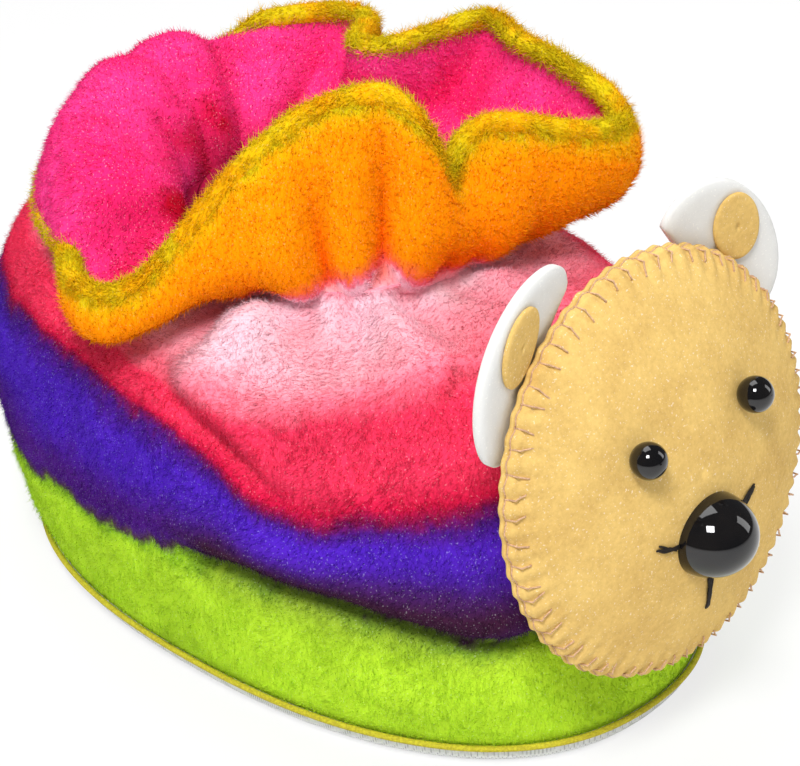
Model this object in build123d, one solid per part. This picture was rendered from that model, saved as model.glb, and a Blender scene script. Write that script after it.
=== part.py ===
"""Hand puppet: a fleece body on an oval sole, a gathered frill mouth, a felt face with ears.

Millimetres, +Z up, the face looks along -Y.  The origin is the middle of the flat sole,
on the ground.
"""
import os
from math import cos, pi, radians, sin, sqrt, tan

from build123d import *

# ---- body sizes -------------------------------------------------------------------------
BODY_LENGTH = 195.0      # front to back at the widest level of the wall
BODY_WIDTH = 115.0       # side to side at the same level
NECK_HEIGHT = 94.0       # level of the gathered neck
NECK_WIDTH = 62.0
NECK_LENGTH = 80.0
NECK_SHIFT = 3.0         # neck centre behind the middle of the sole
SOLE_HEIGHT = 5.0        # depth of the shallow sole tray
SOLE_CLOTH = 1.5         # thickness of the sole cloth
SKIN = 3.0               # plush thickness
PADDING = 8.0            # wadding between the skin and the hand lining
LINING = 2.0
SUPER = 2.3              # squareness of the plan outline
CLEAR = 0.3              # gap between pieces that move against each other

# ---- frill sizes ------------------------------------------------------------------------
FRILL_TOP = 136.0
FRILL_REACH = 28.0       # how far the rim stands out past the neck
FRILL_CLOTH = 2.4
FRILL_LOBES = 6
LOBE_DEPTH = 5.0
HEM = 4.5                # height of the rolled rim

# ---- face sizes -------------------------------------------------------------------------
FACE_DIAMETER = 90.0
FACE_DOME = 13.4         # how far the padded front stands out
FACE_BACK = 6.0
HEAD_GAP = 1.8           # between the back of the head and the body behind it
HEAD_TURN = 12.0         # how far the head turns to each side, in degrees
CHIN_IN = 3.0            # how far the chin tips in, in degrees
FACE_LEAN = 9.4          # the face looks up by this angle
FACE_HEIGHT = 67.5       # centre of the face above the ground
FACE_FORWARD = 92.9      # centre of the face in front of the origin
FELT = 2.2
STITCHES = 60
STITCH_REACH = 5.5
EYE_DIAMETER = 7.8
EYE_SPREAD = 16.2        # half the distance between the eyes
EYE_RISE = 10.6
NOSE_WIDTH = 19.6
NOSE_HEIGHT = 17.8
NOSE_DEPTH = 10.8
NOSE_DROP = 13.8

# ---- ear sizes --------------------------------------------------------------------------
EAR_LONG = 41.6
EAR_SHORT = 28.0
EAR_FELT = 3.0
EAR_ANGLE = 41.3         # from straight up round to the ear
EAR_RADIUS = 46.0
EAR_BEHIND = 3.5
EAR_TILT = 20.0          # the ear leans forward over the rim
EAR_TWIST = -15.6
EAR_PATCH_LONG = 17.0
EAR_PATCH_SHORT = 12.0
PATCH_FELT = 1.3

# ---- swivel between the head and the body -----------------------------------------------
SWIVEL_Y = -79.0
SWIVEL_Z = 66.0
SWIVEL_R = 13.8
RING_R = 13.5
RING_WIDE = 6.2
RING_SET_BACK = 0.9
RING_BORE = 11.0
SLEEVE_R = 10.7
FINGER_R = 7.0

# level, side, front and back of the wall as shares of the widest half sizes
WALL = (
    (0.000, 0.930, 0.923, 0.923),
    (0.110, 0.970, 0.964, 0.969),
    (0.280, 0.995, 0.985, 0.995),
    (0.485, 1.000, 0.974, 1.000),
    (0.640, 0.974, 0.930, 0.985),
    (0.790, 0.896, 0.850, 0.930),
    (0.905, 0.750, 0.680, 0.760),
)


def closed_outline(points):
    """A smooth closed wire through a ring of points."""
    return Wire([Spline(*points, periodic=True)])


def oval_points(z, half_x, front, back, shift=0.0, count=20):
    """Plan outline with its own half lengths in front and behind."""
    ring = []
    for step in range(count):
        turn = 2 * pi * step / count
        c = cos(turn)
        s = sin(turn)
        ex = abs(c) ** (2 / SUPER) * (1 if c >= 0 else -1)
        ey = abs(s) ** (2 / SUPER) * (1 if s >= 0 else -1)
        reach = back if ey > 0 else front
        ring.append((half_x * ex, shift + reach * ey, z))
    return ring


def oval_face(z, half_x, half_y):
    return Face(closed_outline(oval_points(z, half_x, half_y, half_y)))


def front_limit(z):
    """How far forward the wall may reach at a level: it is pressed flat behind the head."""
    slope = tan(radians(FACE_LEAN))
    rim = FACE_FORWARD + (FACE_HEIGHT - z) * slope
    chin_room = max(0.0, SWIVEL_Z - z) * (tan(radians(FACE_LEAN + CHIN_IN + 0.3)) - slope)
    return rim - (FACE_BACK + HEAD_GAP) / cos(radians(FACE_LEAN)) - chin_room


def pressed(ring, limit):
    """Keeps the wall behind the sweep of the head: the room grows to each side as it turns."""
    side_room = tan(radians(HEAD_TURN + 0.3))
    return [(x, max(y, side_room * abs(x) - limit), z) for x, y, z in ring]


def body_solid(inset, neck_inset):
    """The body's outer form, drawn in by an inset that changes towards the neck."""
    half_x = BODY_WIDTH / 2
    half_y = BODY_LENGTH / 2
    rise = NECK_HEIGHT - SOLE_HEIGHT
    wires = []
    for share, side, front, back in WALL:
        blend = max(0.0, (share - 0.64) / 0.36)
        draw_in = inset + (neck_inset - inset) * blend
        z = SOLE_HEIGHT + rise * share
        ring = oval_points(
            z,
            half_x * side - draw_in,
            half_y * front - draw_in,
            half_y * back - draw_in,
            NECK_SHIFT * share,
        )
        wires.append(closed_outline(pressed(ring, front_limit(z) - draw_in)))
    neck = oval_points(
        NECK_HEIGHT,
        NECK_WIDTH / 2 - neck_inset,
        NECK_LENGTH / 2 - neck_inset,
        NECK_LENGTH / 2 - neck_inset,
        NECK_SHIFT,
    )
    wires.append(closed_outline(neck))
    return Solid.make_loft(wires)


def slab(low, high):
    return Pos(0, 0, (low + high) / 2) * Box(400, 400, high - low)


def swivel_ball(radius):
    return Pos(0, SWIVEL_Y, SWIVEL_Z) * Sphere(radius)


def build_body():
    skin_outer = body_solid(0, 0)
    skin_inner = body_solid(SKIN, SKIN)
    lining_outer = body_solid(SKIN + PADDING, SKIN + 1.5)
    lining_inner = body_solid(SKIN + PADDING + LINING, SKIN + 1.5 + LINING)
    socket = swivel_ball(SWIVEL_R)
    band_low = NECK_HEIGHT - 4.5
    band_high = NECK_HEIGHT - 0.5
    skin = skin_outer - skin_inner - socket
    padding = (skin_inner & slab(SOLE_HEIGHT, band_low - 0.5)) - lining_outer - socket
    pocket = lining_inner & slab(SOLE_HEIGHT + LINING, NECK_HEIGHT + 10)
    lining = lining_outer - pocket - socket
    elastic = (skin_inner & slab(band_low, band_high)) - lining_outer
    return skin, padding, lining, elastic


def build_sole():
    side = BODY_WIDTH / 2 * WALL[0][1]
    reach = BODY_LENGTH / 2 * WALL[0][2]
    tray = extrude(oval_face(0, side, reach), SOLE_HEIGHT)
    low_edges = tray.edges().group_by(Axis.Z)[0]
    tray = fillet(low_edges, SOLE_HEIGHT * 0.6)
    hollow_side = side - SOLE_CLOTH - 1.2
    hollow_reach = reach - SOLE_CLOTH - 1.2
    hollow = extrude(
        oval_face(SOLE_CLOTH, hollow_side, hollow_reach), SOLE_HEIGHT - SOLE_CLOTH
    )
    insole = extrude(
        oval_face(SOLE_CLOTH, hollow_side, hollow_reach), SOLE_HEIGHT - SOLE_CLOTH
    )
    out = 0.95
    path = closed_outline(oval_points(SOLE_HEIGHT, side + out, reach + out, reach + out))
    start = Plane(origin=path @ 0, z_dir=path % 0)
    seam = sweep(start * Circle(0.7), path)
    return tray - hollow, insole, seam


def frill_points(z, grow, inset):
    """Fluted outline of the frill; grow runs from 0 at the neck to 1 at the rim."""
    flare = grow ** 1.35
    ring = []
    count = FRILL_LOBES * 8
    for step in range(count):
        turn = 2 * pi * step / count
        flute = LOBE_DEPTH * flare * cos(FRILL_LOBES * turn)
        rx = NECK_WIDTH / 2 + FRILL_REACH * flare + flute - inset
        ry = NECK_LENGTH / 2 + (FRILL_REACH - 4) * flare + flute - inset
        ring.append((rx * cos(turn), NECK_SHIFT + ry * sin(turn), z))
    return ring


def frill_solid(inset):
    rim = FRILL_TOP - HEM
    wires = []
    for grow in (0.0, 0.3, 0.6, 0.85, 1.0):
        z = NECK_HEIGHT + (rim - NECK_HEIGHT) * grow
        wires.append(closed_outline(frill_points(z, grow, inset)))
    return Solid.make_loft(wires)


def build_frill():
    outside = frill_solid(0)
    between = frill_solid(FRILL_CLOTH)
    inside = frill_solid(2 * FRILL_CLOTH)
    rim = FRILL_TOP - HEM
    ring_out = Face(closed_outline(frill_points(rim, 1.0, -0.4)))
    ring_in = Face(closed_outline(frill_points(rim, 1.0, 2 * FRILL_CLOTH + 0.4)))
    hem = extrude(ring_out, HEM) - extrude(ring_in, HEM)
    return outside - between, between - inside, hem


# ---- face frame: x to the viewer's right, y up the face, z out of the face ----------------
FACE = Plane(
    origin=(0, -FACE_FORWARD, FACE_HEIGHT),
    x_dir=(1, 0, 0),
    z_dir=(0, -cos(radians(FACE_LEAN)), sin(radians(FACE_LEAN))),
)


def in_face(piece):
    return FACE.location * piece


def cap(base_radius, height, z0, up=1):
    """Part of a ball standing on a flat circle at level z0."""
    ball = (base_radius**2 + height**2) / (2 * height)
    centre = z0 + up * (height - ball)
    block = Pos(0, 0, z0 + up * height) * Box(4 * ball, 4 * ball, 2 * height)
    return (Pos(0, 0, centre) * Sphere(ball)) & block


FRONT_BALL = ((FACE_DIAMETER / 2) ** 2 + (FACE_DOME - FELT) ** 2) / (2 * (FACE_DOME - FELT))
FRONT_CENTRE = FACE_DOME - FRONT_BALL


def dome_height(x, y):
    return FRONT_CENTRE + sqrt(FRONT_BALL**2 - x * x - y * y)


def on_dome(x, y, out=0.0):
    """Point standing off the padded front by a distance along its normal."""
    z = dome_height(x, y)
    scale = out / FRONT_BALL
    return Vector(x * (1 + scale), y * (1 + scale), z + (z - FRONT_CENTRE) * scale)


def dome_plane(x, y, out=0.0):
    normal = on_dome(x, y, 1.0) - on_dome(x, y)
    return Plane(origin=on_dome(x, y, out), x_dir=(1, 0, -x / FRONT_BALL), z_dir=normal)


def face_pads():
    radius = FACE_DIAMETER / 2
    front = Pos(0, 0, FELT / 2) * Cylinder(radius, FELT) + cap(radius, FACE_DOME - FELT, FELT)
    front_fill = cap(radius - 3.5, FACE_DOME - FELT - 0.2, 0)
    back_radius = radius - 1.0
    back = Pos(0, 0, -FELT / 2) * Cylinder(back_radius, FELT)
    back = back + cap(back_radius, FACE_BACK - FELT, -FELT, -1)
    back_fill = cap(back_radius - 4.5, FACE_BACK - FELT - 0.2, 0, -1)
    return front - front_fill, back - back_fill, front_fill + back_fill


def thread_bar(start, end, radius):
    """Round thread between two points with rounded ends."""
    run = end - start
    rod = Solid.make_cylinder(radius, run.length, Plane(origin=start, z_dir=run))
    return rod + Pos(start) * Sphere(radius) + Pos(end) * Sphere(radius)


def build_blanket_stitch():
    """Edge thread with one short leg over the front for every stitch."""
    radius = FACE_DIAMETER / 2
    line = radius + 0.75
    ring = Solid.make_torus(line, 0.6, Plane((0, 0, FELT * 0.5)))
    legs = []
    for number in range(STITCHES):
        turn = 2 * pi * number / STITCHES
        c = cos(turn)
        s = sin(turn)
        reach = radius - STITCH_REACH
        inner = Vector(reach * c, reach * s, dome_height(reach, 0) + 0.45)
        corner = Vector(line * c, line * s, FELT + 0.55)
        foot = Vector(line * c, line * s, FELT * 0.5)
        run = corner - inner
        legs.append(Solid.make_cylinder(0.42, run.length, Plane(origin=inner, z_dir=run)))
        rise = corner - foot
        legs.append(Solid.make_cylinder(0.42, rise.length, Plane(origin=foot, z_dir=rise)))
        legs.append(Pos(corner) * Sphere(0.42))
    return ring.fuse(*legs)


def build_eye(side):
    """Bead on a shank, and the washer that locks it behind the felt."""
    x = side * EYE_SPREAD
    seat = dome_plane(x, EYE_RISE)
    ball = EYE_DIAMETER / 2
    bead = seat.location * (Pos(0, 0, ball * 0.82) * Sphere(ball))
    shank = seat.location * (Pos(0, 0, -3.0) * Cylinder(1.2, 8.0))
    washer = seat.location * (Pos(0, 0, -4.4) * (Cylinder(4.2, 1.2) - Cylinder(1.2, 1.2)))
    return bead + shank, washer


def build_nose():
    seat = dome_plane(0, -NOSE_DROP, -0.5)
    block = Pos(0, 0, 20) * Box(60, 60, 40)
    shape = scale(Sphere(1), by=(NOSE_WIDTH / 2, NOSE_HEIGHT / 2, NOSE_DEPTH)) & block
    nose = seat.location * shape
    shank = seat.location * (Pos(0, 0, -3.0) * Cylinder(1.8, 8.0))
    washer = seat.location * (Pos(0, 0, -4.6) * (Cylinder(6.0, 1.4) - Cylinder(1.8, 1.4)))
    return nose + shank, washer


def build_strokes():
    """Three short embroidered lines round the nose."""
    ends = (
        ((-10.6, -12.0), (-14.8, -10.1)),
        ((10.6, -12.0), (14.8, -10.1)),
        ((0.0, -23.8), (0.0, -31.8)),
    )
    strokes = []
    for (x0, y0), (x1, y1) in ends:
        strokes.append(thread_bar(on_dome(x0, y0, 0.2), on_dome(x1, y1, 0.2), 0.65))
    return strokes


def ear_frame():
    angle = radians(EAR_ANGLE)
    seat = Pos(EAR_RADIUS * sin(angle), EAR_RADIUS * cos(angle), -EAR_BEHIND)
    return seat * Rot(0, 0, -EAR_ANGLE) * Rot(EAR_TILT, 0, 0) * Rot(0, 0, EAR_TWIST)


def ellipse_plate(long_axis, short_axis, thick):
    return extrude(Ellipse(long_axis / 2, short_axis / 2), thick)


def build_ear():
    """Right ear: white felt oval with its sewn edge cut straight, and the inner patch."""
    frame = ear_frame()
    plate = Pos(0, 0, -EAR_FELT / 2) * ellipse_plate(EAR_LONG, EAR_SHORT, EAR_FELT)
    plate = plate - Pos(0, -EAR_SHORT / 2 - 13.0, 0) * Box(80, 40, 20)
    patch = ellipse_plate(EAR_PATCH_LONG, EAR_PATCH_SHORT, PATCH_FELT)
    patch = Pos(-3.4, 5.5, EAR_FELT / 2) * Rot(0, 0, -15) * patch
    ties = None
    for offset in (-8.0, 0.0, 8.0):
        knot = thread_bar(Vector(offset, -7.6, -1.9), Vector(offset, -3.0, -1.9), 0.4)
        ties = knot if ties is None else ties + knot
    rail = thread_bar(Vector(-8.0, -7.6, -1.9), Vector(8.0, -7.6, -1.9), 0.4)
    return frame * plate, frame * patch, frame * (ties + rail)


def build_swivel():
    """Finger sleeve fixed to the head, and the bound ring it nods inside."""
    centre = Pos(0, SWIVEL_Y, SWIVEL_Z)
    along = Rot(90, 0, 0)
    ring_cut = centre * Pos(0, RING_SET_BACK, 0) * Box(60, RING_WIDE, 60)
    ring = (swivel_ball(RING_R) - swivel_ball(RING_BORE)) & ring_cut
    knob = swivel_ball(SLEEVE_R) & (centre * Box(60, 11.0, 60))
    neck = centre * Pos(0, -8.0, 0) * along * Cylinder(FINGER_R + 1.6, 14.0)
    bore = centre * Pos(0, -3.6, 0) * along * Cylinder(FINGER_R, 20.0)
    return ring, knob + neck - bore


def save(name, solid):
    pieces = solid.solids() if hasattr(solid, "solids") else [solid]
    if len(pieces) != 1:
        raise ValueError(f"{name} has {len(pieces)} solids")
    export_step(pieces[0], f"parts/{name}.step")
    print(name, round(pieces[0].volume, 1))


def main():
    os.makedirs("parts", exist_ok=True)
    skin, padding, lining, elastic = build_body()
    sole, insole, seam = build_sole()
    frill, frill_lining, hem = build_frill()
    save("body_skin", skin)
    save("body_padding", padding)
    save("hand_lining", lining)
    save("neck_elastic", elastic)
    save("sole_cloth", sole)
    save("insole", insole)
    save("sole_seam", seam)
    save("frill_outer", frill)
    save("frill_lining", frill_lining)
    save("frill_hem", hem)

    ring, sleeve = build_swivel()
    front, back, fill = face_pads()
    front = in_face(front)
    back = in_face(back)
    fill = in_face(fill)
    stitch = in_face(build_blanket_stitch())
    hardware = []
    for name, side in (("left", -1), ("right", 1)):
        eye, washer = build_eye(side)
        hardware.append(("eye_" + name, in_face(eye)))
        hardware.append(("eye_washer_" + name, in_face(washer)))
    nose, nose_washer = build_nose()
    hardware.append(("nose", in_face(nose)))
    hardware.append(("nose_washer", in_face(nose_washer)))
    for name, stroke in zip(("left", "right", "lower"), build_strokes()):
        hardware.append(("mouth_stitch_" + name, in_face(stroke)))
    for name, piece in hardware:
        front = front - piece
        fill = fill - piece
        save(name, piece)
    front = front - stitch
    passage = Pos(0, SWIVEL_Y - 8.0, SWIVEL_Z) * Rot(90, 0, 0) * Cylinder(FINGER_R + 1.6, 14.0)
    back = back - stitch - passage
    fill = fill - passage
    save("face_front", front)
    save("face_back", back)
    save("face_filling", fill)
    save("blanket_stitch", stitch)
    save("finger_sleeve", sleeve)
    save("swivel_ring", ring)

    plate, patch, ties = build_ear()
    for name, flip in (("right", False), ("left", True)):
        for label, piece in (("ear_", plate), ("ear_patch_", patch), ("ear_stitch_", ties)):
            shape = piece.mirror(Plane.YZ) if flip else piece
            save(label + name, in_face(shape))


main()
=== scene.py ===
"""Looks for the plush hand puppet: striped body, gathered frill, felt face and ears."""

from math import cos, pi, radians, sin, sqrt

import bpy
import numpy as np
from mathutils import Matrix, Vector, noise
from mathutils.bvhtree import BVHTree


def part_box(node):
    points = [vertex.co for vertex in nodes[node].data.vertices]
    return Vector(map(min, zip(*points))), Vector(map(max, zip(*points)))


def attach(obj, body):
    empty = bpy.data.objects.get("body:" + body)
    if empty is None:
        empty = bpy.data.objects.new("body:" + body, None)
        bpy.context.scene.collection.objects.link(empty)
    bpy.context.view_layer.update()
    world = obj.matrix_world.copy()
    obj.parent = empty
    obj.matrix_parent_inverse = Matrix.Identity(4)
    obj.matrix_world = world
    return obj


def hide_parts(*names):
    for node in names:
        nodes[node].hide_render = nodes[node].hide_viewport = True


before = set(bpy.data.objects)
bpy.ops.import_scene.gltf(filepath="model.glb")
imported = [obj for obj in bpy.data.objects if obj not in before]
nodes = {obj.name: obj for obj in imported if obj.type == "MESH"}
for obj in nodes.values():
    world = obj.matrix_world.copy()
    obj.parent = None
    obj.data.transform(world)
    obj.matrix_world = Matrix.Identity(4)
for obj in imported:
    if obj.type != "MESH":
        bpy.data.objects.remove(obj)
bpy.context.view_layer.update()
MM = 0.001

# ------------------------------------------------------------------ colours
LIME = (0.56, 0.88, 0.035)
# painted shade: darker lime just below the crease where lime meets purple
LIME_SHADE = (0.30, 0.58, 0.02)
# painted shade: dark brown for the crease where lime meets purple
CREASE_SHADE_BROWN = (0.10, 0.05, 0.08)
PURPLE = (0.088, 0.018, 0.56)
# painted shade: darker purple along both creases of the purple band
PURPLE_CREASE_SHADE = (0.085, 0.012, 0.26)
# painted shade: dark plum for the hollows and creases of the lime and purple bands
PLUM_PAINTED_SHADE = (0.050, 0.012, 0.040)
CRIMSON = (0.78, 0.012, 0.075)
# painted shade: dark crimson for the crease where purple meets coral
CRIMSON_CREASE_SHADE = (0.26, 0.008, 0.09)
CORAL = (1.0, 0.045, 0.13)
PINK = (1.0, 0.24, 0.34)
PINK_PALE = (1.0, 0.64, 0.74)
ORANGE = (1.0, 0.33, 0.0005)
# painted shade: deep orange for the valleys of the frill's pleats
ORANGE_PAINTED_SHADE = (0.95, 0.10, 0.0008)
ORANGE_WARM = (1.0, 0.22, 0.05)
RIM_MIX = (0.88, 0.44, 0.002)
RIM_GREEN = (0.72, 0.56, 0.006)
MAGENTA = (0.92, 0.020, 0.17)
MAGENTA_PINK = (0.98, 0.050, 0.30)
# painted shade: deep magenta for the lining's hollows and low in the cup
MAGENTA_PAINTED_SHADE = (0.60, 0.005, 0.03)
TAN = (0.76, 0.52, 0.17)
TAN_SHADE = (0.52, 0.31, 0.09)
WHITE_FELT = (0.72, 0.72, 0.70)
THREAD_MAUVE = (0.68, 0.43, 0.26)
THREAD_BLACK = (0.018, 0.013, 0.010)
BEAD_BLACK = (0.004, 0.004, 0.005)
WEAVE_WHITE = (0.80, 0.81, 0.82)
SEAM_YELLOW = (0.62, 0.55, 0.03)
WADDING = (0.85, 0.83, 0.78)
BOARD = (0.48, 0.38, 0.26)
# painted shade: the pocket and neck parts are darkened red for the deep pit at the neck
POCKET_SHADED_RED = (0.30, 0.005, 0.04)


# ------------------------------------------------------------------ node helpers
class Tree:
    """Short calls for building one material's or group's nodes."""

    def __init__(self, tree):
        self.tree = tree
        self.nodes = tree.nodes
        self.links = tree.links

    def add(self, kind, **values):
        node = self.nodes.new(kind)
        for key, value in values.items():
            setattr(node, key, value)
        return node

    def join(self, source, target):
        self.links.new(source, target)

    def set(self, socket, value):
        if isinstance(value, bpy.types.NodeSocket):
            self.join(value, socket)
        elif isinstance(value, tuple) and len(value) == 3 and socket.type == "RGBA":
            socket.default_value = (*value, 1.0)
        else:
            socket.default_value = value

    def math(self, operation, a, b=0.0, clamp=False):
        node = self.add("ShaderNodeMath", operation=operation, use_clamp=clamp)
        self.set(node.inputs[0], a)
        self.set(node.inputs[1], b)
        return node.outputs[0]

    def times(self, a, b):
        return self.math("MULTIPLY", a, b)

    def plus(self, a, b):
        return self.math("ADD", a, b)

    def less(self, a, b):
        return self.math("SUBTRACT", a, b)

    def mix(self, factor, a, b, blend="MIX"):
        node = self.add("ShaderNodeMix", data_type="RGBA", blend_type=blend)
        self.set(node.inputs[0], factor)
        self.set(node.inputs[6], a)
        self.set(node.inputs[7], b)
        return node.outputs[2]

    def place(self, stretch):
        """Object coordinates scaled to a pattern's own size."""
        coords = self.add("ShaderNodeTexCoord")
        mapping = self.add("ShaderNodeMapping")
        mapping.inputs["Scale"].default_value = stretch
        self.join(coords.outputs["Object"], mapping.inputs["Vector"])
        return mapping.outputs["Vector"]

    def noise(self, vector, size=1.0, detail=3.0, rough=0.6):
        node = self.add("ShaderNodeTexNoise")
        self.join(vector, node.inputs["Vector"])
        node.inputs["Scale"].default_value = size
        node.inputs["Detail"].default_value = detail
        node.inputs["Roughness"].default_value = rough
        return node.outputs["Fac"]

    def ramp(self, factor, stops):
        node = self.add("ShaderNodeValToRGB")
        ramp = node.color_ramp
        while len(ramp.elements) < len(stops):
            ramp.elements.new(0.5)
        for element, (place, colour) in zip(ramp.elements, stops):
            element.position = place
            element.color = (*colour, 1.0)
        self.set(node.inputs[0], factor)
        return node.outputs[0]

    def span(self, value, low, high, to_low=0.0, to_high=1.0):
        node = self.add("ShaderNodeMapRange", clamp=True)
        self.set(node.inputs[0], value)
        for index, number in enumerate((low, high, to_low, to_high), 1):
            node.inputs[index].default_value = number
        return node.outputs[0]

    def attribute(self, name):
        return self.add("ShaderNodeAttribute", attribute_name=name).outputs["Fac"]


def new_group(name, inputs, outputs):
    group = bpy.data.node_groups.new(name, "ShaderNodeTree")
    for label, kind, value in inputs:
        socket = group.interface.new_socket(name=label, in_out="INPUT", socket_type=kind)
        socket.default_value = value
    for label, kind in outputs:
        group.interface.new_socket(name=label, in_out="OUTPUT", socket_type=kind)
    tree = Tree(group)
    return group, tree, tree.add("NodeGroupInput"), tree.add("NodeGroupOutput")


FLOAT = "NodeSocketFloat"
COLOUR = "NodeSocketColor"


def make_nap_group():
    """Brushed pile: some strands darker than the tint as painted shade deep in the pile, and a few hairs
    lifted towards white as painted glints.
    """
    group, t, given, out = new_group(
        "brushed_pile",
        [("Dye", COLOUR, (1, 1, 1, 1)), ("Contrast", FLOAT, 0.35), ("Glints", FLOAT, 0.3)],
        [("Colour", COLOUR), ("Height", FLOAT)],
    )
    strands = t.noise(t.place((1500, 1500, 520)), 1.0, 3.0, 0.65)
    tufts = t.noise(t.place((210, 210, 120)), 1.0, 2.0, 0.5)
    both = t.plus(t.times(strands, 0.65), t.times(tufts, 0.35))
    level = t.span(both, 0.30, 0.70)
    # painted shade: darker strands deep in the pile
    dark = t.mix(1.0, given.outputs["Dye"], (0.60, 0.52, 0.55), "MULTIPLY")
    shade = t.mix(t.times(t.less(1.0, level), given.outputs["Contrast"]),
                  given.outputs["Dye"], dark)
    # painted glints: a few hairs lifted towards white
    glint = t.span(t.noise(t.place((2600, 2600, 2600)), 1.0, 0.0), 0.70, 0.80)
    pale = t.mix(0.55, given.outputs["Dye"], (1, 1, 1))
    lit = t.mix(t.times(glint, given.outputs["Glints"]), shade, pale)
    t.join(lit, out.inputs["Colour"])
    t.join(both, out.inputs["Height"])
    return group


def make_felt_group():
    """Pressed felt: cloudy wool with fine crossing fibres, and a few painted glints."""
    group, t, given, out = new_group(
        "pressed_felt",
        [("Wool", COLOUR, (1, 1, 1, 1)), ("Shade", COLOUR, (0.5, 0.5, 0.5, 1)), ("Contrast", FLOAT, 0.5)],
        [("Colour", COLOUR), ("Height", FLOAT)],
    )
    clouds = t.noise(t.place((110, 110, 110)), 1.0, 3.0, 0.6)
    fibres = t.noise(t.place((900, 900, 900)), 1.0, 5.0, 0.75)
    both = t.plus(t.times(clouds, 0.45), t.times(fibres, 0.55))
    low = t.less(1.0, t.span(both, 0.34, 0.62))
    colour = t.mix(t.times(low, given.outputs["Contrast"]),
                   given.outputs["Wool"], given.outputs["Shade"])
    # painted glints: a few specks lifted towards warm white
    glint = t.span(t.noise(t.place((2300, 2300, 2300)), 1.0, 0.0), 0.72, 0.80)
    colour = t.mix(t.times(glint, 0.35), colour, (1.0, 0.98, 0.90))
    t.join(colour, out.inputs["Colour"])
    t.join(both, out.inputs["Height"])
    return group


def make_weave_group():
    """Plain weave seen close: over and under yarns with tiny dark gaps."""
    group, t, given, out = new_group(
        "plain_weave",
        [("Yarn", COLOUR, (1, 1, 1, 1)), ("Gap", COLOUR, (0.4, 0.4, 0.4, 1))],
        [("Colour", COLOUR), ("Height", FLOAT)],
    )
    turned = t.add("ShaderNodeMapping")
    turned.inputs["Rotation"].default_value = (0, 0, radians(38))
    t.join(t.place((1, 1, 1)), turned.inputs["Vector"])
    split = t.add("ShaderNodeSeparateXYZ")
    t.join(turned.outputs["Vector"], split.inputs[0])
    yarns_per_metre = 2 * pi * 1150
    warp = t.math("SINE", t.times(split.outputs[0], yarns_per_metre))
    weft = t.math("SINE", t.times(split.outputs[1], yarns_per_metre))
    cross = t.times(warp, weft)
    fray = t.times(t.noise(t.place((2500, 2500, 2500))), 0.5)
    height = t.plus(t.span(cross, -1.0, 1.0), fray)
    gap = t.span(cross, -0.95, -0.35, 1.0, 0.0)
    t.join(t.mix(gap, given.outputs["Yarn"], given.outputs["Gap"]), out.inputs["Colour"])
    t.join(height, out.inputs["Height"])
    return group


NAP = make_nap_group()
FELT_GROUP = make_felt_group()
WEAVE = make_weave_group()


def surface(name, build, roughness=0.95, sheen=0.0, bump=0.4, depth=0.0006, coat=0.0, specular=0.3):
    """A material whose build(tree) gives its colour and, if it has one, its height."""
    material = bpy.data.materials.new(name)
    material.use_nodes = True
    t = Tree(material.node_tree)
    shader = material.node_tree.nodes["Principled BSDF"]
    colour, height = build(t)
    t.set(shader.inputs["Base Color"], colour)
    shader.inputs["Roughness"].default_value = roughness
    shader.inputs["Specular IOR Level"].default_value = specular
    shader.inputs["Sheen Weight"].default_value = sheen
    shader.inputs["Sheen Roughness"].default_value = 0.5
    shader.inputs["Coat Weight"].default_value = coat
    shader.inputs["Coat Roughness"].default_value = 0.04
    if height is not None:
        node = t.add("ShaderNodeBump")
        node.inputs["Strength"].default_value = bump
        node.inputs["Distance"].default_value = depth
        t.join(height, node.inputs["Height"])
        t.join(node.outputs["Normal"], shader.inputs["Normal"])
    return material


def use_group(t, group, **values):
    node = t.add("ShaderNodeGroup", node_tree=group)
    for key, value in values.items():
        t.set(node.inputs[key], value)
    return node.outputs["Colour"], node.outputs["Height"]


def striped_plush(t):
    """The dye runs round the body in soft bands; the blend wanders with the pile. Painted shade darkens
    the creases where the bands meet and the hollows of the gathers and swells.
    """
    dye = t.attribute("dye")
    wander = t.noise(t.place((70, 70, 70)), 1.0, 3.0)
    ragged = t.noise(t.place((420, 420, 190)), 1.0, 3.0, 0.7)
    shift = t.plus(t.times(t.less(wander, 0.5), 0.30),
                   t.times(t.less(ragged, 0.5), 0.16))
    band = t.math("DIVIDE", t.plus(dye, shift), 4.0)
    # the darker stops where lime meets purple and where purple meets coral are painted crease shade
    colour = t.ramp(band, (
        (0.000, LIME), (0.212, LIME), (0.238, LIME_SHADE), (0.254, CREASE_SHADE_BROWN),
        (0.272, PURPLE_CREASE_SHADE), (0.305, PURPLE_CREASE_SHADE), (0.375, PURPLE), (0.440, PURPLE),
        (0.480, PURPLE_CREASE_SHADE),
        (0.506, CRIMSON_CREASE_SHADE), (0.536, CRIMSON), (0.590, CORAL), (0.715, CORAL), (0.775, PINK),
        (0.860, PINK_PALE), (0.960, PINK_PALE), (1.000, PINK),
    ))
    clouds = t.span(t.noise(t.place((48, 48, 48)), 1.0, 3.0), 0.40, 0.68)
    shaded = t.mix(1.0, colour, (0.66, 0.70, 0.62), "MULTIPLY")
    colour = t.mix(t.times(clouds, 0.55), colour, shaded)
    # painted shade: plum in the hollows and creases of the lime and lower purple bands
    low = t.span(dye, 1.85, 1.25)
    colour = t.mix(t.times(t.span(t.attribute("hollow"), 0.10, 0.85), low), colour, PLUM_PAINTED_SHADE)
    # painted shade: the hollows of the coral and pink bands turn coral
    coral_shade = t.span(t.attribute("hollow"), 0.15, 1.0)
    warm = t.span(dye, 2.2, 2.7)
    colour = t.mix(t.times(t.times(coral_shade, warm), 0.50), colour, CORAL)
    return use_group(t, NAP, Dye=colour, Contrast=0.22, Glints=0.25)


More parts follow.
